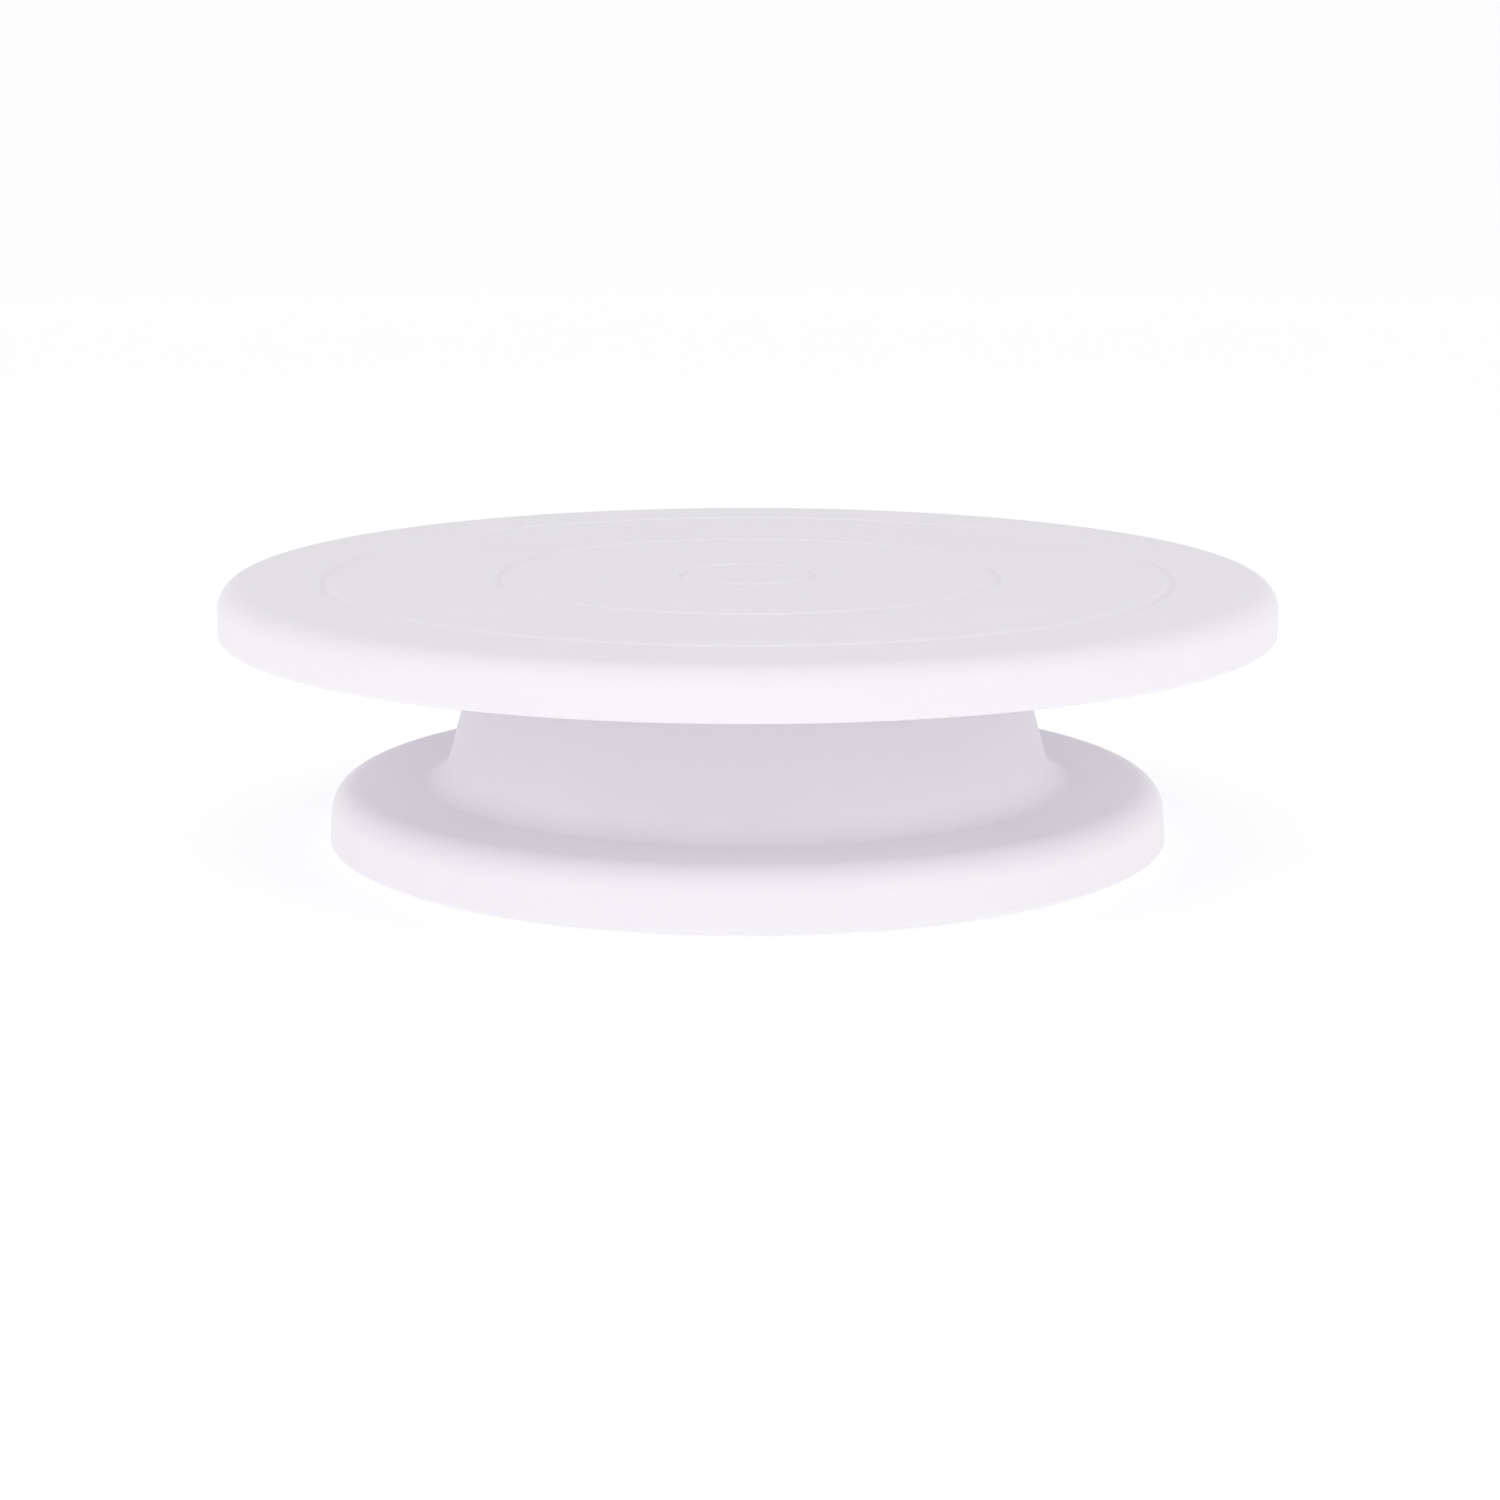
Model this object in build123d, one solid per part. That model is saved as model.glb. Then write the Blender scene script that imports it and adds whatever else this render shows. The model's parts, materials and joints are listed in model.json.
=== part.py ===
from build123d import *
import os
from math import atan, cos, radians, sin

# Cake turntable: a moulded plate that turns on a ring of steel balls over a moulded base.
# Millimetres, Z up. The origin is on the axis of rotation, in the plane the feet rest on.

# Whole object
overall_height = 71.0
plate_diameter = 280.0
base_diameter = 224.0

# Plate
plate_deck = 3.2
plate_rim_height = 13.5
plate_rim_wall = 2.6
plate_rim_round = 6.5
plate_lip_round = 0.9
plate_inner_round = 2.5
groove_radii = [17.8, 66.4, 112.3]
groove_width = 3.4
groove_depth = 0.9
groove_edge_round = 0.5
plate_rib_depth = 5.0
plate_rib_thickness = 1.8
plate_inner_ribs = 12
plate_outer_ribs = 24
plate_ring_rib_radii = [84.0, 111.0]
hub_radius = 9.0
race_seat_depth = 3.0
race_lip_width = 1.6
race_lip_depth = 0.6

# Base
base_ground_gap = 1.0
base_flange_height = 16.4
base_flare = 1.0
base_wall = 2.6
base_edge_round = 7.0
base_lip_round = 0.8
neck_root_radius = 81.6
neck_shoulder_radius = 70.4
neck_blend_round = 7.0
neck_shoulder_round = 2.5
base_rib_thickness = 2.0
neck_long_ribs = 8
neck_rib_start = 30.0
neck_rib_rise = 18.0
flange_ribs = 24
flange_rib_gap = 3.0
race_recess_depth = 0.5

# Ball bearing
ball_radius = 3.0
ball_count = 12
ball_pitch_radius = 50.0
ball_clearance = 0.05
race_width = 12.0
race_thickness = 1.2
race_groove_depth = 0.45
race_groove_ease = 0.25
race_side_clearance = 0.1
cage_width = 9.0
cage_thickness = 3.4
cage_edge_round = 0.5
pocket_clearance = 0.08

# Spindle and what holds it
spindle_radius = 4.0
spindle_cover = 4.0
spindle_chamfer = 0.6
bush_clearance = 0.05
bush_wall = 3.0
bush_flange_width = 2.6
bush_flange_thickness = 1.5
hub_gap = 0.6
well_clearance = 2.5
well_depth = 7.2
tube_wall = 2.6
tube_length = 26.0
lift_gap = 0.3
thrust_washer_thickness = 0.8
thrust_washer_width = 4.2
retaining_washer_thickness = 1.5
retaining_washer_width = 4.8
screw_radius = 2.0
screw_length = 12.0
screw_hole_spare = 2.0
screw_head_radius = 3.8
screw_head_height = 2.4
screw_head_round = 1.2
screw_slot_width = 0.9
screw_slot_length = 4.4
screw_slot_depth = 1.3
cap_wall = 1.6
cap_grip = 5.0
cap_head_gap = 1.5
cap_side_gap = 1.0
cap_edge_round = 0.8

# Rubber feet
foot_count = 6
foot_radius = 6.0
foot_height = 4.2
foot_edge_round = 0.7
foot_side_clearance = 0.1
foot_boss_wall = 1.9
foot_circle_radius = 95.0

# Heights that follow from the sizes above, from the top down
plate_top = overall_height
plate_underside = plate_top - plate_deck
plate_bottom = plate_top - plate_rim_height
race_seat = plate_underside - race_seat_depth
upper_race_bottom = race_seat - race_thickness
ball_height = upper_race_bottom + race_groove_depth - ball_clearance - ball_radius
lower_race_top = ball_height - ball_radius - ball_clearance + race_groove_depth
lower_race_bottom = lower_race_top - race_thickness
base_deck = lower_race_bottom + race_recess_depth
well_floor = base_deck - well_depth
bush_top = well_floor + bush_flange_thickness
hub_bottom = bush_top + hub_gap
tube_bottom = well_floor - tube_length
thrust_washer_bottom = tube_bottom - lift_gap - thrust_washer_thickness
retaining_washer_bottom = thrust_washer_bottom - retaining_washer_thickness
screw_head_bottom = retaining_washer_bottom - screw_head_height
cap_floor = screw_head_bottom - cap_head_gap
cap_bottom = cap_floor - cap_wall
spindle_top = plate_top - spindle_cover

# Radii that follow
plate_radius = plate_diameter / 2
base_radius = base_diameter / 2
race_groove_radius = ball_radius + race_groove_ease
bush_bore = spindle_radius + bush_clearance
bush_radius = bush_bore + bush_wall
tube_radius = bush_radius + tube_wall
well_radius = hub_radius + well_clearance
race_inner_radius = ball_pitch_radius - race_width / 2
race_outer_radius = ball_pitch_radius + race_width / 2
seat_inner_radius = race_inner_radius - race_side_clearance
seat_outer_radius = race_outer_radius + race_side_clearance
neck_slope = (neck_root_radius - neck_shoulder_radius) / (base_deck - base_flange_height)


def turned(*corners):
    """A solid of revolution about Z, from corners given as radius, height and corner round."""
    points = [(radius, height) for radius, height, corner in corners]
    rounds = [corner for radius, height, corner in corners]
    outline = FilletPolyline(*points, radius=rounds, close=True)
    return revolve(Plane.XZ * make_face(outline), Axis.Z)


def disc(radius, low, high):
    """A plain cylinder on the axis, between two heights."""
    return turned((0, low, 0), (radius, low, 0), (radius, high, 0), (0, high, 0))


def ring(inner, outer, low, high):
    """A plain ring on the axis, between two radii and two heights."""
    return turned((inner, low, 0), (outer, low, 0), (outer, high, 0), (inner, high, 0))


def spokes(count, inner, outer, low, high, thickness, turn=0.0):
    """Straight ribs that stand on edge, evenly spaced about the axis."""
    rib = Box(outer - inner, thickness, high - low, align=(Align.MIN, Align.CENTER, Align.MIN))
    rib = Pos(inner, 0, low) * rib
    return [Rot(0, 0, turn + 360 / count * number) * rib for number in range(count)]


def around(count, radius, height):
    """Places on a circle about the axis, the first on +X."""
    angles = [radians(360 / count * number) for number in range(count)]
    return [Pos(radius * cos(angle), radius * sin(angle), height) for angle in angles]


# Plate


def plate_blank(inset, low):
    """The plate's outer shape, taken in by a wall."""
    corner = max(plate_rim_round - inset, plate_inner_round)
    edge = plate_radius - inset
    deck = plate_top - inset
    return turned((0, low, 0), (edge, low, 0), (edge, deck, corner), (0, deck, 0))


def plate_cavity():
    """The room under the deck and inside the skirt."""
    edge = plate_radius - plate_rim_wall
    low = plate_bottom - plate_lip_round
    return turned(
        (0, low, 0),
        (edge, low, 0),
        (edge, plate_underside, plate_inner_round),
        (0, plate_underside, 0),
    )


def ring_groove(radius):
    """A shallow groove of round section in the plate's top."""
    section_radius = ((groove_width / 2) ** 2 + groove_depth**2) / (2 * groove_depth)
    return Pos(0, 0, plate_top - groove_depth + section_radius) * Torus(radius, section_radius)


def groove_rims(plate):
    """The two sharp circles of every groove."""
    reach = groove_width / 2 + groove_edge_round
    circles = plate.edges().filter_by(GeomType.CIRCLE).group_by(Axis.Z)[-1]
    return [
        circle
        for circle in circles
        if any(abs(circle.radius - radius) < reach for radius in groove_radii)
    ]


def plate_ribs():
    """Radial and ring ribs under the deck, which leave the bearing free."""
    low = plate_underside - plate_rib_depth
    high = plate_top - plate_deck / 2
    edge = plate_radius - plate_rim_wall / 2
    lip_inner = seat_inner_radius - race_lip_width / 2
    lip_outer = seat_outer_radius + race_lip_width / 2
    ribs = spokes(plate_inner_ribs, hub_radius / 2, lip_inner, low, high, plate_rib_thickness)
    ribs += spokes(plate_outer_ribs, lip_outer, edge, low, high, plate_rib_thickness)
    for radius in plate_ring_rib_radii:
        half = plate_rib_thickness / 2
        ribs.append(ring(radius - half, radius + half, low, high))
    return [rib & plate_blank(plate_rim_wall / 2, low) for rib in ribs]


def make_plate():
    """The moulded plate, with its ribs, its bearing seat and its hub."""
    blank = turned(
        (0, plate_bottom, 0),
        (plate_radius, plate_bottom, plate_lip_round),
        (plate_radius, plate_top, plate_rim_round),
        (0, plate_top, 0),
    )
    for radius in groove_radii:
        blank -= ring_groove(radius)
    blank = fillet(groove_rims(blank), groove_edge_round)
    seat_foot = race_seat - race_lip_depth
    seat = ring(
        seat_inner_radius - race_lip_width,
        seat_outer_radius + race_lip_width,
        seat_foot,
        plate_underside + plate_deck / 2,
    )
    plate = blank - plate_cavity()
    plate += plate_ribs()
    plate += seat
    plate += disc(hub_radius, hub_bottom, plate_top - plate_deck / 2)
    plate -= ring(seat_inner_radius, seat_outer_radius, seat_foot - race_lip_depth, race_seat)
    plate -= disc(spindle_radius, hub_bottom - hub_gap, spindle_top)
    return plate


# Base


def neck_radius(height):
    """The neck's outer radius at a height."""
    return neck_root_radius - neck_slope * (height - base_flange_height)


def base_blank(inset, low):
    """The base's outer shape, taken in by a wall on every side but the bottom."""
    slant = inset / cos(atan(neck_slope))
    flange = base_flange_height - inset
    deck = base_deck - inset
    return turned(
        (0, low, 0),
        (base_radius - inset, low, 0),
        (base_radius - base_flare - inset, flange, max(base_edge_round - inset, base_wall)),
        (neck_radius(flange) - slant, flange, neck_blend_round + inset),
        (neck_radius(deck) - slant, deck, max(neck_shoulder_round - inset, 0)),
        (0, deck, 0),
    )


def base_ribs():
    """Long and short ribs in the neck, and a fan of ribs under the flange."""
    half_wall = base_wall / 2
    room = base_blank(half_wall, base_ground_gap)
    neck_outside = neck_radius(base_flange_height)
    turn = 180 / neck_long_ribs
    low = neck_rib_rise
    ribs = spokes(
        neck_long_ribs, tube_radius - tube_wall / 2, neck_outside, low, base_deck, base_rib_thickness
    )
    ribs += spokes(
        neck_long_ribs, neck_rib_start, neck_outside, low, base_deck, base_rib_thickness, turn
    )
    ribs += spokes(
        flange_ribs,
        neck_root_radius - base_wall,
        base_radius,
        base_ground_gap + flange_rib_gap,
        base_flange_height,
        base_rib_thickness,
    )
    cap_room = disc(
        tube_radius + cap_wall + cap_side_gap, cap_bottom, tube_bottom + cap_grip + cap_side_gap
    )
    return [(rib & room) - cap_room for rib in ribs]


def foot_bosses():
    """Round bosses under the flange, which the feet are glued into."""
    boss_radius = foot_radius + foot_side_clearance + foot_boss_wall
    height = base_flange_height - base_wall / 2 - base_ground_gap
    boss = Cylinder(boss_radius, height, align=(Align.CENTER, Align.CENTER, Align.MIN))
    return [place * boss for place in around(foot_count, foot_circle_radius, base_ground_gap)]


def foot_sockets():
    """The blind holes in the bosses."""
    depth = foot_height - base_ground_gap
    hole = Cylinder(
        foot_radius + foot_side_clearance, depth, align=(Align.CENTER, Align.CENTER, Align.MIN)
    )
    return [place * hole for place in around(foot_count, foot_circle_radius, base_ground_gap)]


def make_base():
    """The moulded base, with its neck, its bearing seat, its centre tube and its ribs."""
    blank = turned(
        (0, base_ground_gap, 0),
        (base_radius, base_ground_gap, base_lip_round),
        (base_radius - base_flare, base_flange_height, base_edge_round),
        (neck_root_radius, base_flange_height, neck_blend_round),
        (neck_shoulder_radius, base_deck, neck_shoulder_round),
        (0, base_deck, 0),
    )
    base = blank - base_blank(base_wall, base_ground_gap - base_wall)
    base += base_ribs()
    base += foot_bosses()
    base -= foot_sockets()
    base += disc(tube_radius, tube_bottom, well_floor)
    base += disc(well_radius + tube_wall, well_floor - tube_wall, base_deck)
    base -= disc(well_radius, well_floor, base_deck + race_recess_depth)
    base -= disc(bush_radius, tube_bottom - tube_wall, well_floor)
    base -= ring(seat_inner_radius, seat_outer_radius, lower_race_bottom, lower_race_top)
    return base


# Ball bearing


def race(seat_height, groove_height):
    """A pressed ring with a round groove on the side that the balls run on."""
    low = min(seat_height, groove_height)
    high = max(seat_height, groove_height)
    facing = 1 if groove_height > seat_height else -1
    centre = groove_height + facing * (race_groove_radius - race_groove_depth)
    blank = ring(race_inner_radius, race_outer_radius, low, high)
    return blank - Pos(0, 0, centre) * Torus(ball_pitch_radius, race_groove_radius)


def make_cage():
    """The ring with a round pocket for each ball."""
    low = ball_height - cage_thickness / 2
    high = ball_height + cage_thickness / 2
    inner = ball_pitch_radius - cage_width / 2
    outer = ball_pitch_radius + cage_width / 2
    cage = turned(
        (inner, low, cage_edge_round),
        (outer, low, cage_edge_round),
        (outer, high, cage_edge_round),
        (inner, high, cage_edge_round),
    )
    for place in around(ball_count, ball_pitch_radius, ball_height):
        cage -= place * Sphere(ball_radius + pocket_clearance)
    return cage


# Spindle and what holds it


def make_spindle():
    """The steel pin, with a tapped hole in its lower end."""
    pin = disc(spindle_radius, thrust_washer_bottom, spindle_top)
    ends = pin.edges().filter_by(GeomType.CIRCLE)
    pin = chamfer(ends.group_by(Axis.Z)[-1], spindle_chamfer)
    hole_top = thrust_washer_bottom + screw_length - retaining_washer_thickness + screw_hole_spare
    return pin - disc(screw_radius, thrust_washer_bottom, hole_top)


def make_bush():
    """The flanged sleeve that the spindle turns in."""
    flange_radius = bush_radius + bush_flange_width
    sleeve = ring(bush_bore, bush_radius, tube_bottom, bush_top)
    return sleeve + ring(bush_bore, flange_radius, well_floor, bush_top)


def make_screw():
    """A pan head screw with a cross recess."""
    head_top = retaining_washer_bottom
    head = turned(
        (0, screw_head_bottom, 0),
        (screw_head_radius, screw_head_bottom, screw_head_round),
        (screw_head_radius, head_top, 0),
        (0, head_top, 0),
    )
    screw = head + disc(screw_radius, head_top, head_top + screw_length)
    recess = Box(
        screw_slot_length,
        screw_slot_width,
        screw_slot_depth,
        align=(Align.CENTER, Align.CENTER, Align.MIN),
    )
    for turn in (0, 90):
        screw -= Pos(0, 0, screw_head_bottom) * Rot(0, 0, turn) * recess
    return screw


def make_cap():
    """The cup that pushes onto the centre tube and hides the screw."""
    outer = tube_radius + cap_wall
    cup = turned(
        (0, cap_bottom, 0),
        (outer, cap_bottom, cap_edge_round),
        (outer, tube_bottom + cap_grip, 0),
        (0, tube_bottom + cap_grip, 0),
    )
    return cup - disc(tube_radius, cap_floor, tube_bottom + cap_grip)


def make_foot():
    """A round rubber foot, standing on the resting plane."""
    return turned(
        (0, 0, 0),
        (foot_radius, 0, foot_edge_round),
        (foot_radius, foot_height, 0),
        (0, foot_height, 0),
    )


pieces = {
    "turntable_plate": make_plate(),
    "base_body": make_base(),
    "upper_race": race(race_seat, upper_race_bottom),
    "lower_race": race(lower_race_bottom, lower_race_top),
    "ball_cage": make_cage(),
    "spindle": make_spindle(),
    "spindle_bush": make_bush(),
    "thrust_washer": ring(
        spindle_radius,
        spindle_radius + thrust_washer_width,
        thrust_washer_bottom,
        thrust_washer_bottom + thrust_washer_thickness,
    ),
    "retaining_washer": ring(
        screw_radius,
        spindle_radius + retaining_washer_width,
        retaining_washer_bottom,
        thrust_washer_bottom,
    ),
    "retaining_screw": make_screw(),
    "bottom_cap": make_cap(),
}
for number, place in enumerate(around(ball_count, ball_pitch_radius, ball_height), 1):
    pieces[f"bearing_ball_{number:02d}"] = place * Sphere(ball_radius)
for number, place in enumerate(around(foot_count, foot_circle_radius, 0), 1):
    pieces[f"rubber_foot_{number}"] = place * make_foot()

os.makedirs("parts", exist_ok=True)
for name, piece in pieces.items():
    export_step(piece, f"parts/{name}.step")
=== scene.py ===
import json
from math import atan, cos, pi, radians, tan

import bmesh
import bpy
from mathutils import Matrix, Vector


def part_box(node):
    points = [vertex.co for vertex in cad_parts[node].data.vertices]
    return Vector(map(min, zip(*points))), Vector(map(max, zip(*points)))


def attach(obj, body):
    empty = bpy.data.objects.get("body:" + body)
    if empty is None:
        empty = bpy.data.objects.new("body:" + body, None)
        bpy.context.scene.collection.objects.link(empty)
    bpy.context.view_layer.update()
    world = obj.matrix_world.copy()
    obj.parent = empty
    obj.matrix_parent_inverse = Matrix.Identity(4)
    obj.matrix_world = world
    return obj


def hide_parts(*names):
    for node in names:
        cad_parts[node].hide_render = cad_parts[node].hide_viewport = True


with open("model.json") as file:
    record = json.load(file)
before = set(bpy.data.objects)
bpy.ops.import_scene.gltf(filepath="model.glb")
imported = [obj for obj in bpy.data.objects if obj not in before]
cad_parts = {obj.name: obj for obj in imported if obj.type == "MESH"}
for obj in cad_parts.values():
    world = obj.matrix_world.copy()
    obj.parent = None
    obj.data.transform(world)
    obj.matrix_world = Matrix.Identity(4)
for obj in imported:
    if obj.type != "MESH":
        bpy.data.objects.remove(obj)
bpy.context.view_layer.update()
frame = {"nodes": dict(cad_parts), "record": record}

mm = 0.001
fullTurn = 2 * pi


# Materials. Colours are sRGB hex, sizes are millimetres.

def hexColour(code):  # to the linear colour that a shader wants
    parts = [int(code[place:place + 2], 16) / 255 for place in (1, 3, 5)]
    linear = [part / 12.92 if part <= 0.04045 else ((part + 0.055) / 1.055) ** 2.4 for part in parts]
    return (*linear, 1.0)


def patternScale(size):  # for grains of this size in mm, on object coordinates in metres
    return 1000 / size


def addNode(tree, kind, inputs=None, **settings):  # a socket among the inputs becomes a link
    made = tree.nodes.new(kind)
    for name, value in settings.items():
        setattr(made, name, value)
    for name, value in (inputs or {}).items():
        if isinstance(value, bpy.types.NodeSocket):
            tree.links.new(value, made.inputs[name])
        else:
            made.inputs[name].default_value = value
    return made


def newMaterial(name):
    material = bpy.data.materials.new(name)
    material.use_nodes = True
    material.node_tree.nodes.clear()
    place = addNode(material.node_tree, "ShaderNodeTexCoord").outputs["Object"]
    return material, material.node_tree, place


mixLow, mixHigh, mixResult = 6, 7, 2   # a colour Mix node's own sockets, which share their names

polypropylene = {
    "colour": "#F6F3F8",
    "flowColour": "#F2EFF5",   # where the melt flowed and cooled last
    "flowSize": 38.0,
    "grain": 0.55,             # the mould's spark-eroded texture, drawn coarser than its real 0.1
    "grainDepth": 0.004,
    "ripple": 14.0,            # slow shrinkage of a thin wall
    "rippleDepth": 0.012,
    "roughness": (0.46, 0.58),
    "ior": 1.49,
    "scatter": 0.12,
    "scatterDepth": 1.2,
}


def injectionMouldedPolypropylene(look):
    # Opaque white polypropylene from a lightly textured steel mould: an even satin sheen, edges
    # that glow a little where light scatters in, and hardly any change of colour.
    material, tree, place = newMaterial("injectionMouldedPolypropylene")
    flow = addNode(tree, "ShaderNodeTexNoise", {
        "Vector": place, "Scale": patternScale(look["flowSize"]), "Detail": 3.0, "Roughness": 0.5})
    grain = addNode(tree, "ShaderNodeTexNoise", {
        "Vector": place, "Scale": patternScale(look["grain"]), "Detail": 2.0, "Roughness": 0.6})
    ripple = addNode(tree, "ShaderNodeTexNoise", {
        "Vector": place, "Scale": patternScale(look["ripple"]), "Detail": 1.0})
    tone = addNode(tree, "ShaderNodeMix", {
        "Factor": flow.outputs["Fac"], mixLow: hexColour(look["flowColour"]),
        mixHigh: hexColour(look["colour"])}, data_type="RGBA")
    gloss = addNode(tree, "ShaderNodeMapRange", {
        "Value": grain.outputs["Fac"], "To Min": look["roughness"][0], "To Max": look["roughness"][1]})
    waves = addNode(tree, "ShaderNodeBump", {
        "Height": ripple.outputs["Fac"], "Distance": look["rippleDepth"] * mm})
    skin = addNode(tree, "ShaderNodeBump", {
        "Height": grain.outputs["Fac"], "Distance": look["grainDepth"] * mm,
        "Normal": waves.outputs["Normal"]})
    shader = addNode(tree, "ShaderNodeBsdfPrincipled", {
        "Base Color": tone.outputs[mixResult],
        "Roughness": gloss.outputs["Result"],
        "IOR": look["ior"],
        "Subsurface Weight": look["scatter"],
        "Subsurface Radius": (1.0, 0.9, 0.85),
        "Subsurface Scale": look["scatterDepth"] * mm,
        "Normal": skin.outputs["Normal"]})
    addNode(tree, "ShaderNodeOutputMaterial", {"Surface": shader.outputs["BSDF"]})
    return material


acetal = {
    "name": "mouldedAcetal",
    "colour": "#F6F4EC",
    "cloudColour": "#E2DFD3",
    "cloudSize": 6.0,
    "grain": 0.3,
    "grainDepth": 0.004,
    "roughness": 0.42,
    "ior": 1.48,
    "scatter": 0.2,
    "scatterDepth": 1.0,
}
nylon = {
    "name": "punchedNylonSheet",
    "colour": "#F3EEDF",
    "cloudColour": "#D8D0BA",
    "cloudSize": 4.0,
    "grain": 0.25,
    "grainDepth": 0.008,
    "roughness": 0.5,
    "ior": 1.48,
    "scatter": 0.2,
    "scatterDepth": 0.8,
}


def milkyPlastic(look):
    # Unpigmented acetal and nylon: waxy, off-white and a little cloudy, with a dull sheen.
    material, tree, place = newMaterial(look["name"])
    cloud = addNode(tree, "ShaderNodeTexNoise", {
        "Vector": place, "Scale": patternScale(look["cloudSize"]), "Detail": 2.0})
    grain = addNode(tree, "ShaderNodeTexNoise", {
        "Vector": place, "Scale": patternScale(look["grain"]), "Detail": 2.0})
    tone = addNode(tree, "ShaderNodeMix", {
        "Factor": cloud.outputs["Fac"], mixLow: hexColour(look["cloudColour"]),
        mixHigh: hexColour(look["colour"])}, data_type="RGBA")
    skin = addNode(tree, "ShaderNodeBump", {
        "Height": grain.outputs["Fac"], "Distance": look["grainDepth"] * mm})
    shader = addNode(tree, "ShaderNodeBsdfPrincipled", {
        "Base Color": tone.outputs[mixResult],
        "Roughness": look["roughness"],
        "IOR": look["ior"],
        "Subsurface Weight": look["scatter"],
        "Subsurface Radius": (1.0, 0.9, 0.8),
        "Subsurface Scale": look["scatterDepth"] * mm,
        "Normal": skin.outputs["Normal"]})
    addNode(tree, "ShaderNodeOutputMaterial", {"Surface": shader.outputs["BSDF"]})
    return material


raceSteel = {
    "name": "pressedBearingSteel",
    "colour": "#C2C3C6",
    "tarnish": "#98999D",
    "lineWidth": 0.25,       # rings left by the press tool and the polish
    "tarnishSize": 9.0,
    "lineDepth": 0.003,
    "roughness": (0.24, 0.38),
}
pinSteel = {
    "name": "turnedSteel",
    "colour": "#BEBFC2",
    "tarnish": "#929397",
    "lineWidth": 0.2,        # the lathe's feed marks
    "tarnishSize": 9.0,
    "lineDepth": 0.004,
    "roughness": (0.22, 0.36),
}
zincSteel = {
    "name": "zincPlatedSteel",
    "colour": "#D2D5DA",
    "tarnish": "#A3A7B0",    # the bluish passivation
    "lineWidth": 0.5,
    "tarnishSize": 9.0,
    "lineDepth": 0.003,
    "roughness": (0.30, 0.44),
}


def ringFinishedSteel(look):
    # Steel that was turned, pressed or polished as it spun: fine rings about the axis, which
    # stretch the highlights, under a faint uneven tarnish.
    material, tree, place = newMaterial(look["name"])
    split = addNode(tree, "ShaderNodeSeparateXYZ", {"Vector": place})
    flat = addNode(tree, "ShaderNodeCombineXYZ", {"X": split.outputs["X"], "Y": split.outputs["Y"]})
    reach = addNode(tree, "ShaderNodeVectorMath", {0: flat.outputs["Vector"]}, operation="LENGTH")
    profile = addNode(tree, "ShaderNodeCombineXYZ", {
        "X": reach.outputs["Value"], "Z": split.outputs["Z"]})
    rings = addNode(tree, "ShaderNodeTexNoise", {
        "Vector": profile.outputs["Vector"], "Scale": patternScale(look["lineWidth"]), "Detail": 2.0})
    tarnish = addNode(tree, "ShaderNodeTexNoise", {
        "Vector": place, "Scale": patternScale(look["tarnishSize"]), "Detail": 3.0})
    tone = addNode(tree, "ShaderNodeMix", {
        "Factor": tarnish.outputs["Fac"], mixLow: hexColour(look["tarnish"]),
        mixHigh: hexColour(look["colour"])}, data_type="RGBA")
    gloss = addNode(tree, "ShaderNodeMapRange", {
        "Value": rings.outputs["Fac"], "To Min": look["roughness"][0], "To Max": look["roughness"][1]})
    skin = addNode(tree, "ShaderNodeBump", {
        "Height": rings.outputs["Fac"], "Distance": look["lineDepth"] * mm})
    shader = addNode(tree, "ShaderNodeBsdfPrincipled", {
        "Base Color": tone.outputs[mixResult],
        "Metallic": 1.0,
        "Roughness": gloss.outputs["Result"],
        "Normal": skin.outputs["Normal"]})
    addNode(tree, "ShaderNodeOutputMaterial", {"Surface": shader.outputs["BSDF"]})
    return material


ballSteel = {
    "colour": "#D6D7DA",
    "hazeColour": "#BDBEC2",
    "hazeSize": 1.2,
    "roughness": (0.06, 0.14),
}


def lappedBearingSteel(look):
    # Hardened balls, lapped to a mirror: dark clear reflections with only a breath of haze.
    material, tree, place = newMaterial("lappedBearingSteel")
    haze = addNode(tree, "ShaderNodeTexNoise", {
        "Vector": place, "Scale": patternScale(look["hazeSize"]), "Detail": 3.0})
    tone = addNode(tree, "ShaderNodeMix", {
        "Factor": haze.outputs["Fac"], mixLow: hexColour(look["hazeColour"]),
        mixHigh: hexColour(look["colour"])}, data_type="RGBA")
    gloss = addNode(tree, "ShaderNodeMapRange", {
        "Value": haze.outputs["Fac"], "To Min": look["roughness"][0], "To Max": look["roughness"][1]})
    shader = addNode(tree, "ShaderNodeBsdfPrincipled", {
        "Base Color": tone.outputs[mixResult],
        "Metallic": 1.0,
        "Roughness": gloss.outputs["Result"]})
    addNode(tree, "ShaderNodeOutputMaterial", {"Surface": shader.outputs["BSDF"]})
    return material


footRubber = {
    "colour": "#97989D",
    "speckColour": "#76777B",
    "speckSize": 0.8,
    "speckDepth": 0.02,
    "roughness": (0.66, 0.80),
    "ior": 1.41,
}


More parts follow.
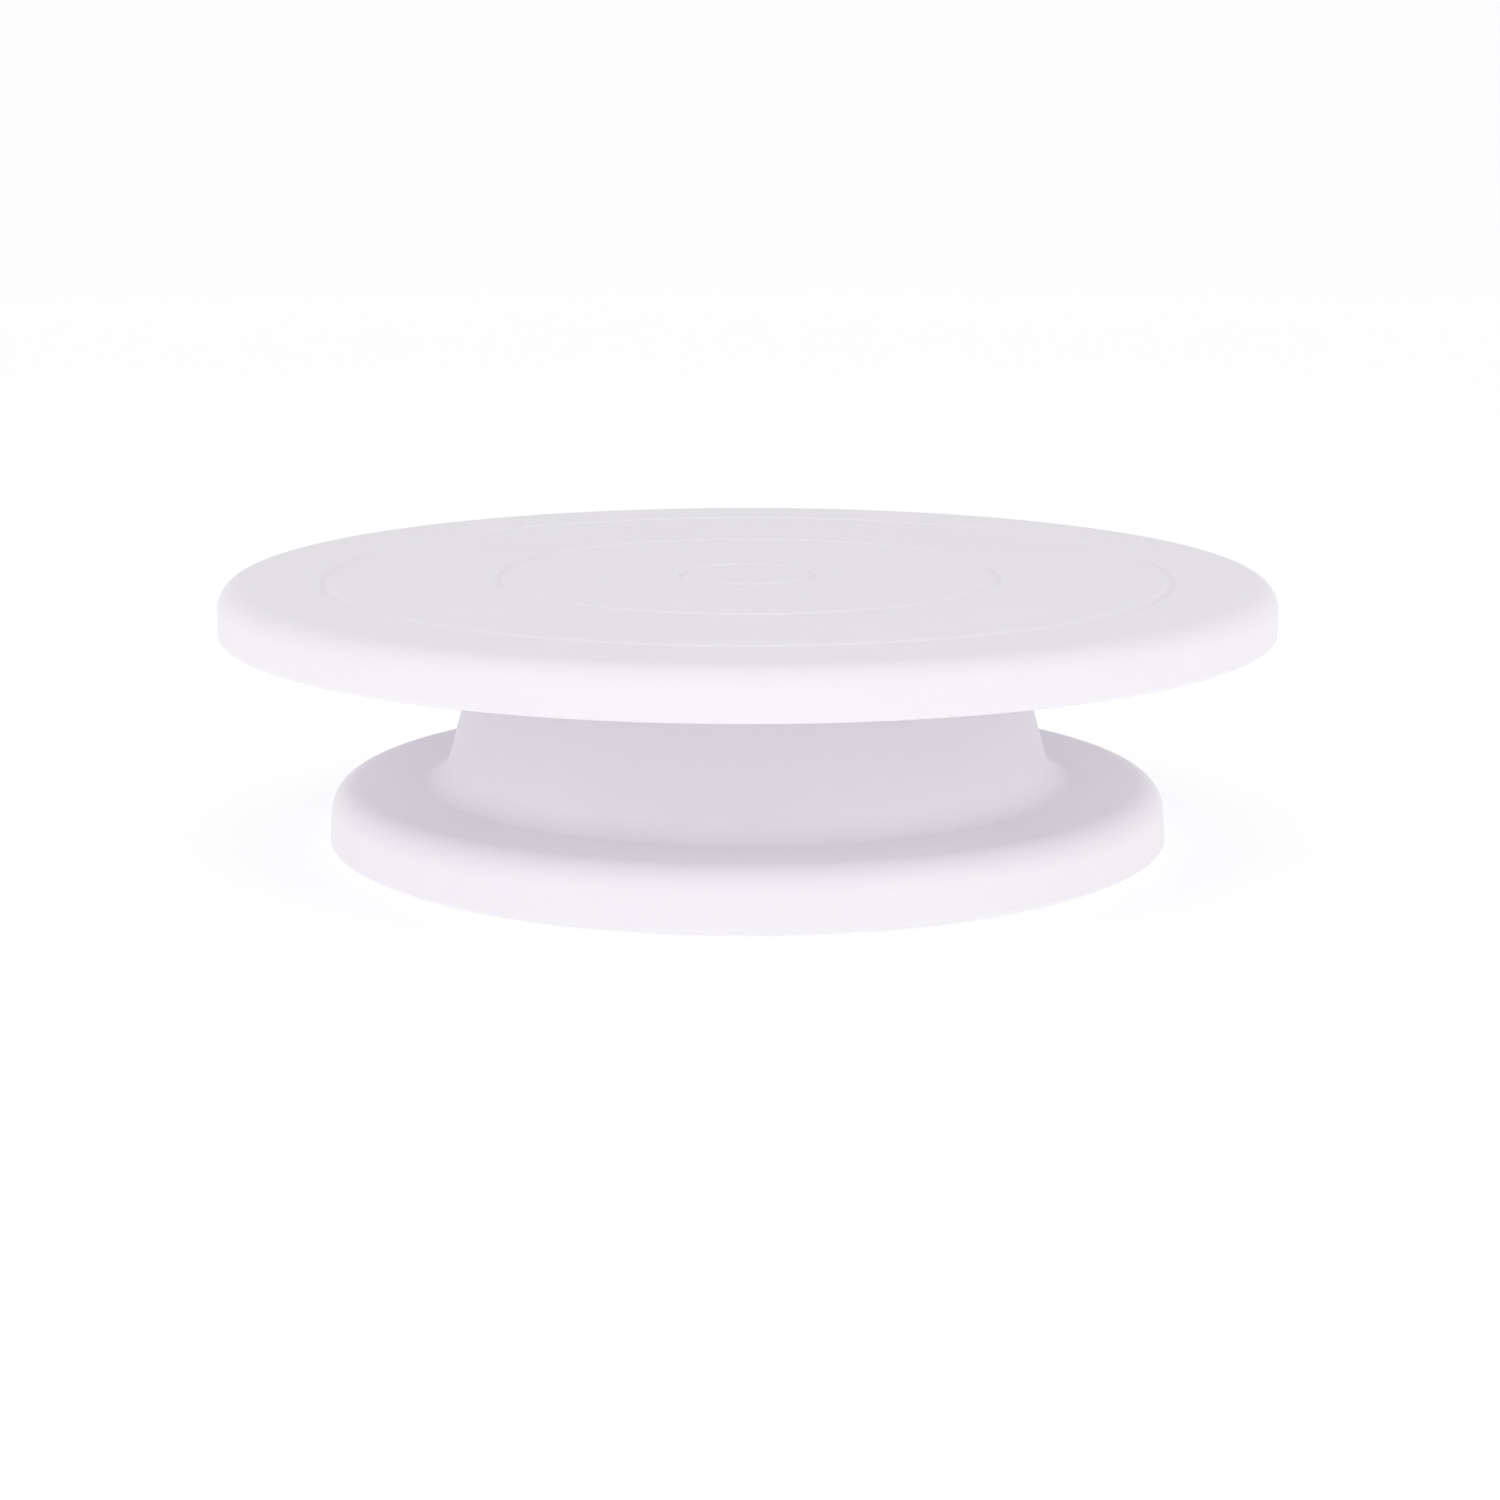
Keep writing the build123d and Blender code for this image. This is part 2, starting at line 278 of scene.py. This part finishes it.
def mouldedSiliconeRubber(look):
    # Grey silicone rubber: matt and faintly speckled, with a soft skin and no sharp highlight.
    material, tree, place = newMaterial("mouldedSiliconeRubber")
    speck = addNode(tree, "ShaderNodeTexNoise", {
        "Vector": place, "Scale": patternScale(look["speckSize"]), "Detail": 4.0, "Roughness": 0.7})
    tone = addNode(tree, "ShaderNodeMix", {
        "Factor": speck.outputs["Fac"], mixLow: hexColour(look["speckColour"]),
        mixHigh: hexColour(look["colour"])}, data_type="RGBA")
    gloss = addNode(tree, "ShaderNodeMapRange", {
        "Value": speck.outputs["Fac"], "To Min": look["roughness"][0], "To Max": look["roughness"][1]})
    skin = addNode(tree, "ShaderNodeBump", {
        "Height": speck.outputs["Fac"], "Distance": look["speckDepth"] * mm})
    shader = addNode(tree, "ShaderNodeBsdfPrincipled", {
        "Base Color": tone.outputs[mixResult],
        "Roughness": gloss.outputs["Result"],
        "IOR": look["ior"],
        "Normal": skin.outputs["Normal"]})
    addNode(tree, "ShaderNodeOutputMaterial", {"Surface": shader.outputs["BSDF"]})
    return material


finishes = {
    "moulded_white": injectionMouldedPolypropylene(polypropylene),
    "acetal": milkyPlastic(acetal),
    "nylon": milkyPlastic(nylon),
    "pressed_steel": ringFinishedSteel(raceSteel),
    "bearing_steel": lappedBearingSteel(ballSteel),
    "turned_steel": ringFinishedSteel(pinSteel),
    "zinc_steel": ringFinishedSteel(zincSteel),
    "foot_rubber": mouldedSiliconeRubber(footRubber),
}
print("materials made")


# Turning, ribs and finishing, which the pieces below share. Sizes are millimetres.

def reach(node):  # outer radius, lowest and highest point of a CAD node that is centred on its axis
    low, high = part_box(node)
    return round((high.x - low.x) / 2 / mm, 1), low.z / mm, high.z / mm


def addOutline(bm, corners):
    # Corners are radius, height and the length that a rounding takes off both sides. An outline
    # that doesn't start on the axis is closed.
    points = [bm.verts.new((radius * mm, 0, height * mm)) for radius, height, cut in corners]
    pairs = list(zip(points, points[1:]))
    if corners[0][0] > 0:
        pairs.append((points[-1], points[0]))
    for pair in pairs:
        bm.edges.new(pair)
    for point, (radius, height, cut) in zip(points, corners):
        if cut:
            bmesh.ops.bevel(bm, geom=[point], offset=cut * mm, offset_type="OFFSET",
                            segments=3 + round(cut * 1.6), profile=0.5, affect="VERTICES",
                            material=-1, clamp_overlap=False)


def turnOutline(corners, steps):
    bm = bmesh.new()
    addOutline(bm, corners)
    bmesh.ops.spin(bm, geom=bm.verts[:] + bm.edges[:], cent=(0, 0, 0), axis=(0, 0, 1),
                   dvec=(0, 0, 0), angle=fullTurn, steps=steps, use_merge=True,
                   use_normal_flip=False, use_duplicate=False)
    bmesh.ops.remove_doubles(bm, verts=bm.verts, dist=1e-6)
    bmesh.ops.recalc_face_normals(bm, faces=bm.faces)
    return bm


def repeatAround(bm, count):
    first = bm.verts[:] + bm.edges[:] + bm.faces[:]
    for number in range(1, count):
        copy = bmesh.ops.duplicate(bm, geom=first)["geom"]
        points = [item for item in copy if isinstance(item, bmesh.types.BMVert)]
        turn = Matrix.Rotation(fullTurn * number / count, 3, "Z")
        bmesh.ops.rotate(bm, cent=(0, 0, 0), matrix=turn, verts=points)


def addRibs(corners, thickness, edge, count, turn=0.0):
    # A rib's side outline, given a thickness and soft edges, then repeated about the axis.
    bm = bmesh.new()
    side = -thickness / 2 * mm
    points = [bm.verts.new((radius * mm, side, height * mm)) for radius, height in corners]
    grown = bmesh.ops.extrude_face_region(bm, geom=[bm.faces.new(points)])
    moved = [item for item in grown["geom"] if isinstance(item, bmesh.types.BMVert)]
    bmesh.ops.translate(bm, vec=(0, thickness * mm, 0), verts=moved)
    bmesh.ops.bevel(bm, geom=bm.edges[:], offset=edge * mm, offset_type="OFFSET", segments=2,
                    profile=0.5, affect="EDGES", material=-1)
    bmesh.ops.recalc_face_normals(bm, faces=bm.faces)
    bmesh.ops.rotate(bm, cent=(0, 0, 0), matrix=Matrix.Rotation(turn, 3, "Z"), verts=bm.verts)
    repeatAround(bm, count)
    return bm


slotOf = {entry["node"]: entry["material_slot"] for entry in frame["record"]["subparts"]}
bodyOf = {node: body for body, nodes in frame["record"]["behaviour"]["bodies"].items() for node in nodes}


def addPiece(name, node, shapes, sharpAngle=40):  # stands for the node, and rides on its body
    whole = bmesh.new()
    for shape in shapes:
        part = bpy.data.meshes.new("part")
        shape.to_mesh(part)
        shape.free()
        whole.from_mesh(part)
        bpy.data.meshes.remove(part)
    mesh = bpy.data.meshes.new(name)
    whole.to_mesh(mesh)
    whole.free()
    mesh.shade_smooth()
    mesh.set_sharp_from_angle(angle=radians(sharpAngle))
    mesh.materials.append(finishes[slotOf[node]])
    piece = bpy.data.objects.new(name, mesh)
    bpy.context.scene.collection.objects.link(piece)
    even = piece.modifiers.new("evenShading", "WEIGHTED_NORMAL")
    even.keep_sharp = True
    even.weight = 100
    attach(piece, bodyOf[node])
    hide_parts(node)


plate = {
    "deck": 3.2,
    "wall": 2.6,
    "rimHeight": 13.5,
    "rimRound": 6.5,
    "lipRound": 0.9,
    "innerRound": 2.5,
    "grooves": [17.8, 66.4, 112.3],
    "grooveWidth": 3.4,
    "grooveDepth": 0.9,
    "grooveSlope": 0.95,        # how far a groove's side leans in, from edge to bottom
    "grooveRound": 0.4,
    "grooveEdge": 0.25,
    "ribDepth": 5.0,
    "ribThickness": 1.8,
    "ribEdge": 0.35,
    "ribRoot": 0.5,
    "ribSunk": 0.4,            # how far a rib's ends go into the walls
    "ringRibs": [111.0, 84.0],
    "innerRibs": 12,
    "outerRibs": 24,
    "hubRadius": 9.0,
    "hubRoot": 0.8,
    "hubEdge": 0.5,
    "raceWidth": 12.0,
    "raceGap": 0.1,
    "seatDepth": 3.0,
    "lipWidth": 1.6,
    "lipDepth": 0.6,
    "lipEdge": 0.3,
    "steps": 288,
}


def makePlate(size):
    radius, hubBottom, top = reach("turntable_plate")
    raceRadius = reach("upper_race")[0]
    pinRadius, _, pinHigh = reach("spindle")
    under = top - size["deck"]
    bottom = top - size["rimHeight"]
    inner = radius - size["wall"]
    ribLow = under - size["ribDepth"]
    half = size["ribThickness"] / 2
    seat = under - size["seatDepth"]
    lip = seat - size["lipDepth"]
    seatOuter = raceRadius + size["raceGap"]
    seatInner = raceRadius - size["raceWidth"] - size["raceGap"]
    lipOuter = seatOuter + size["lipWidth"]
    lipInner = seatInner - size["lipWidth"]
    outline = [(0, top, 0)]
    grooveBottom = top - size["grooveDepth"]
    reachOut = size["grooveWidth"] / 2
    reachIn = reachOut - size["grooveSlope"]
    for groove in size["grooves"]:
        outline += [(groove - reachOut, top, size["grooveEdge"]),
                    (groove - reachIn, grooveBottom, size["grooveRound"]),
                    (groove + reachIn, grooveBottom, size["grooveRound"]),
                    (groove + reachOut, top, size["grooveEdge"])]
    outline += [(radius, top, size["rimRound"]), (radius, bottom, size["lipRound"]),
                (inner, bottom, size["lipRound"]), (inner, under, size["innerRound"])]
    for rib in size["ringRibs"]:
        outline += [(rib + half, under, size["ribRoot"]), (rib + half, ribLow, size["ribEdge"]),
                    (rib - half, ribLow, size["ribEdge"]), (rib - half, under, size["ribRoot"])]
    outline += [(lipOuter, under, size["ribRoot"]), (lipOuter, lip, size["lipEdge"]),
                (seatOuter, lip, size["lipEdge"]), (seatOuter, seat, 0), (seatInner, seat, 0),
                (seatInner, lip, size["lipEdge"]), (lipInner, lip, size["lipEdge"]),
                (lipInner, under, size["ribRoot"])]
    outline += [(size["hubRadius"], under, size["hubRoot"]),
                (size["hubRadius"], hubBottom, size["hubEdge"]),
                (pinRadius, hubBottom, size["lipEdge"]), (pinRadius, pinHigh, 0), (0, pinHigh, 0)]
    shapes = [turnOutline(outline, size["steps"])]
    outerRing, innerRing = size["ringRibs"]
    spans = [(lipOuter, innerRing - half, size["outerRibs"]),
             (innerRing + half, outerRing - half, size["outerRibs"]),
             (outerRing + half, inner, size["outerRibs"]),
             (size["hubRadius"], lipInner, size["innerRibs"])]
    for start, end, count in spans:
        start -= size["ribSunk"]
        end += size["ribSunk"]
        roof = under + size["ribSunk"]
        side = [(start, ribLow), (end, ribLow), (end, roof), (start, roof)]
        shapes.append(addRibs(side, size["ribThickness"], size["ribEdge"], count))
    addPiece("plateMoulding", "turntable_plate", shapes)


makePlate(plate)
print("plate made")

base = {
    "flangeHeight": 16.4,
    "flare": 1.0,
    "wall": 2.6,
    "edgeRound": 7.0,
    "lipRound": 0.8,
    "neckRoot": 81.6,
    "neckShoulder": 70.4,
    "neckBlend": 7.0,
    "shoulderRound": 2.5,
    "ceilingRound": 1.0,
    "raceWidth": 12.0,
    "raceGap": 0.1,
    "raceEdge": 0.2,
    "wellRadius": 11.5,
    "wellEdge": 0.6,
    "tubeWall": 2.6,
    "tubeEdge": 0.4,
    "bushRadius": 7.05,
    "bushFlange": 1.5,
    "ribThickness": 2.0,
    "ribEdge": 0.3,
    "ribSunk": 0.4,
    "longRibs": 8,
    "shortRibStart": 30.0,
    "neckRibRise": 18.0,
    "flangeRibs": 24,
    "flangeRibRise": 4.0,
    "flangeRibCorner": 4.0,
    "capRoom": 1.0,
    "footCircle": 95.0,
    "footGap": 0.1,
    "bossWall": 1.9,
    "bossSteps": 72,
    "feet": 6,
    "steps": 288,
}


def makeBase(size):
    radius, low, deck = reach("base_body")
    radius = round(radius)
    raceRadius, recess, _ = reach("lower_race")
    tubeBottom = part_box("spindle_bush")[0].z / mm
    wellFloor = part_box("spindle_bush")[1].z / mm - size["bushFlange"]
    capRadius, _, capTop = reach("bottom_cap")
    wall = size["wall"]
    flange = size["flangeHeight"]
    slope = (size["neckRoot"] - size["neckShoulder"]) / (deck - flange)
    slant = wall / cos(atan(slope))
    cutLength = 1 / tan((pi / 2 + atan(slope)) / 2)   # of a neck corner, for a radius of one
    ceiling = deck - wall
    underFlange = flange - wall
    tube = size["bushRadius"] + size["tubeWall"]
    well = size["wellRadius"] + size["tubeWall"]
    wellUnder = wellFloor - size["tubeWall"]

    def neckInside(height):
        return size["neckRoot"] - slope * (height - flange) - slant

    raceOuter = raceRadius + size["raceGap"]
    raceInner = raceRadius - size["raceWidth"] - size["raceGap"]
    shapes = [turnOutline([
        (radius, low, size["lipRound"]),
        (radius - size["flare"], flange, size["edgeRound"]),
        (size["neckRoot"], flange, size["neckBlend"] * cutLength),
        (size["neckShoulder"], deck, size["shoulderRound"] * cutLength),
        (raceOuter, deck, size["raceEdge"]), (raceOuter, recess, 0),
        (raceInner, recess, 0), (raceInner, deck, size["raceEdge"]),
        (size["wellRadius"], deck, size["wellEdge"]), (size["wellRadius"], wellFloor, size["ribEdge"]),
        (size["bushRadius"], wellFloor, 0), (size["bushRadius"], tubeBottom, size["raceEdge"]),
        (tube, tubeBottom, size["tubeEdge"]), (tube, wellUnder, size["ribEdge"]),
        (well, wellUnder, size["tubeEdge"]), (well, ceiling, size["wellEdge"]),
        (neckInside(ceiling), ceiling, size["ceilingRound"]),
        (neckInside(underFlange), underFlange, (size["neckBlend"] + wall) * cutLength),
        (radius - size["flare"] - wall, underFlange, size["edgeRound"] - wall),
        (radius - wall, low, size["lipRound"]),
    ], size["steps"])]

    sunk = size["ribSunk"]
    rise = size["neckRibRise"]
    capSide = capRadius + size["capRoom"]
    capRoof = capTop + size["capRoom"]
    neckEnd = [(neckInside(rise) + sunk, rise), (neckInside(ceiling) + sunk, ceiling + sunk)]
    longRib = [(tube - sunk, capRoof), (capSide, capRoof), (capSide, rise), *neckEnd,
               (well - sunk, ceiling + sunk), (well - sunk, wellUnder + sunk),
               (tube - sunk, wellUnder + sunk)]
    shapes.append(addRibs(longRib, size["ribThickness"], size["ribEdge"], size["longRibs"]))
    shortRib = [(size["shortRibStart"], rise), *neckEnd, (size["shortRibStart"], ceiling + sunk)]
    shapes.append(addRibs(shortRib, size["ribThickness"], size["ribEdge"], size["longRibs"],
                          fullTurn / size["longRibs"] / 2))
    inside = radius - wall + sunk
    roof = underFlange + 2 * sunk
    corner = size["flangeRibCorner"]
    ribStart = size["neckRoot"] - wall
    flangeRib = [(ribStart, size["flangeRibRise"]), (inside, size["flangeRibRise"]),
                 (inside - size["flare"], roof - corner), (inside - size["flare"] - corner, roof),
                 (ribStart + corner + wall, roof), (ribStart + sunk, flange), (ribStart, flange)]
    shapes.append(addRibs(flangeRib, size["ribThickness"], size["ribEdge"], size["flangeRibs"]))

    footLow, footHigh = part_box("rubber_foot_1")
    socket = round((footHigh.x - footLow.x) / 2 / mm, 1) + size["footGap"]
    socketRoof = footHigh.z / mm
    boss = socket + size["bossWall"]
    bosses = turnOutline([(0, socketRoof, 0), (socket, socketRoof, 0), (socket, low, size["ribEdge"]),
                          (boss, low, size["tubeEdge"]), (boss, roof, 0), (0, roof, 0)],
                         size["bossSteps"])
    bmesh.ops.translate(bosses, vec=(size["footCircle"] * mm, 0, 0), verts=bosses.verts)
    repeatAround(bosses, size["feet"])
    shapes.append(bosses)
    addPiece("baseMoulding", "base_body", shapes)


makeBase(base)
print("base made")

cap = {
    "wall": 1.6,
    "edge": 0.8,
    "mouthEdge": 0.4,
    "dishRadius": 7.6,        # a shallow dish that keeps the gate mark off the table
    "dishDepth": 0.35,
    "dishSlope": 1.0,
    "dishEdge": 0.4,
    "gateRadius": 0.9,        # the stub where the plastic came in
    "gateHeight": 0.25,
    "gateEdge": 0.1,
    "steps": 96,
}


def makeCap(size):
    radius, low, high = reach("bottom_cap")
    inside = radius - size["wall"]
    floor = low + size["wall"]
    dish = low + size["dishDepth"]
    gate = dish - size["gateHeight"]
    cup = turnOutline([
        (0, gate, 0), (size["gateRadius"], gate, size["gateEdge"]),
        (size["gateRadius"], dish, size["gateEdge"]), (size["dishRadius"], dish, size["dishEdge"]),
        (size["dishRadius"] + size["dishSlope"], low, size["dishEdge"]),
        (radius, low, size["edge"]), (radius, high, size["mouthEdge"]),
        (inside, high, size["mouthEdge"]), (inside, floor, size["mouthEdge"]), (0, floor, 0),
    ], size["steps"])
    addPiece("capMoulding", "bottom_cap", [cup])


makeCap(cap)

foot = {
    "edge": 0.7,
    "gripWidth": 2.4,         # the ring that the foot stands on
    "gripEdge": 0.3,
    "topEdge": 0.2,
    "hollow": 0.6,            # depth of the foot's middle, and the lean of its side
    "steps": 72,
}


def makeFeet(size):
    for node in sorted(name for name in frame["nodes"] if name.startswith("rubber_foot")):
        low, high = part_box(node)
        radius = round((high.x - low.x) / 2 / mm, 1)
        top = high.z / mm
        grip = radius - size["gripWidth"]
        pad = turnOutline([
            (0, size["hollow"], 0), (grip - size["hollow"], size["hollow"], size["gripEdge"]),
            (grip, 0, size["gripEdge"]), (radius, 0, size["edge"]),
            (radius, top, size["topEdge"]), (0, top, 0),
        ], size["steps"])
        centre = (low + high) / 2
        bmesh.ops.translate(pad, vec=(centre.x, centre.y, 0), verts=pad.verts)
        addPiece(node.replace("rubber_foot_", "footPad"), node, [pad])


makeFeet(foot)
print("cap and feet made")

for node, slot in slotOf.items():
    materials = frame["nodes"][node].data.materials
    materials.clear()
    materials.append(finishes[slot])
print("CAD nodes dressed")


# Floor, light and camera, in metres except where noted.

studio = {
    "floorColour": "#BCBCBD",
    "lightColour": "#FFFFFF",
    "floorGlow": 0.60,         # a light table: the floor is lit from below as well
    "floorSanding": 3.0,       # mm
    "floorRoughness": (0.88, 0.98),
    "floorSheen": 0.2,
    "floorRadius": 3.2,
    "floorSteps": 96,
    "bendRadius": 1.2,
    "bendSteps": 24,
    "wallHeight": 2.0,
    "world": 0.44,
    "boxes": [
        {"name": "topBox", "place": (0, -0.1, 2.2), "size": (1.6, 1.6), "power": 8.4},
        {"name": "leftBox", "place": (-1.2, -1.2, 1.05), "size": (0.9, 0.5), "power": 3.5},
        {"name": "rightBox", "place": (1.2, -1.2, 1.05), "size": (0.9, 0.5), "power": 3.5},
    ],
}


def makeFloor(size):
    bm = bmesh.new()
    edge = size["floorRadius"]
    points = [bm.verts.new(place) for place in ((0, 0, 0), (edge, 0, 0), (edge, 0, size["wallHeight"]))]
    for pair in zip(points, points[1:]):
        bm.edges.new(pair)
    bmesh.ops.bevel(bm, geom=[points[1]], offset=size["bendRadius"], offset_type="OFFSET",
                    segments=size["bendSteps"], profile=0.5, affect="VERTICES", material=-1,
                    clamp_overlap=False)
    bmesh.ops.spin(bm, geom=bm.verts[:] + bm.edges[:], cent=(0, 0, 0), axis=(0, 0, 1), dvec=(0, 0, 0),
                   angle=fullTurn, steps=size["floorSteps"], use_merge=True, use_normal_flip=False,
                   use_duplicate=False)
    bmesh.ops.remove_doubles(bm, verts=bm.verts, dist=1e-5)
    bmesh.ops.recalc_face_normals(bm, faces=bm.faces)
    mesh = bpy.data.meshes.new("floor")
    bm.to_mesh(mesh)
    bm.free()
    mesh.shade_smooth()
    # Opal acrylic sheet, sanded matt: the light under it takes away most of the shadow.
    material, tree, place = newMaterial("opalAcrylicSheet")
    sanding = addNode(tree, "ShaderNodeTexNoise", {
        "Vector": place, "Scale": patternScale(size["floorSanding"])})
    gloss = addNode(tree, "ShaderNodeMapRange", {
        "Value": sanding.outputs["Fac"],
        "To Min": size["floorRoughness"][0], "To Max": size["floorRoughness"][1]})
    shader = addNode(tree, "ShaderNodeBsdfPrincipled", {
        "Base Color": hexColour(size["floorColour"]),
        "Roughness": gloss.outputs["Result"],
        "Specular IOR Level": size["floorSheen"],
        "Emission Color": hexColour(size["lightColour"]),
        "Emission Strength": size["floorGlow"]})
    addNode(tree, "ShaderNodeOutputMaterial", {"Surface": shader.outputs["BSDF"]})
    mesh.materials.append(material)
    floor = bpy.data.objects.new("floor", mesh)
    bpy.context.scene.collection.objects.link(floor)


def makeLights(size):
    world = bpy.data.worlds.new("studioWhite")
    world.use_nodes = True
    world.node_tree.nodes.clear()
    sky = addNode(world.node_tree, "ShaderNodeBackground", {
        "Color": hexColour(size["lightColour"]), "Strength": size["world"]})
    addNode(world.node_tree, "ShaderNodeOutputWorld", {"Surface": sky.outputs["Background"]})
    bpy.context.scene.world = world
    for box in size["boxes"]:
        lamp = bpy.data.lights.new(box["name"], "AREA")
        lamp.shape = "RECTANGLE"
        lamp.size, lamp.size_y = box["size"]
        lamp.energy = box["power"]
        light = bpy.data.objects.new(box["name"], lamp)
        light.location = box["place"]
        light.rotation_euler = Vector(box["place"]).to_track_quat("Z", "Y").to_euler()
        bpy.context.scene.collection.objects.link(light)


view = {
    "distance": 0.900,
    "height": 0.2071,
    "pitch": 0.2017,
    "focal": 81.9,       # mm
    "sensor": 36.0,
    "shift": 0.0016,
}


def makeCamera(size):
    lens = bpy.data.cameras.new("camera")
    lens.sensor_width = size["sensor"]
    lens.lens = size["focal"]
    lens.shift_x = size["shift"]
    camera = bpy.data.objects.new("camera", lens)
    camera.location = (0, -size["distance"], size["height"])
    camera.rotation_euler = (pi / 2 - size["pitch"], 0, 0)
    bpy.context.scene.collection.objects.link(camera)
    bpy.context.scene.camera = camera


makeFloor(studio)
makeLights(studio)
makeCamera(view)
bpy.context.scene.view_settings.view_transform = "Standard"
bpy.context.scene.view_settings.look = "None"
print("studio made")
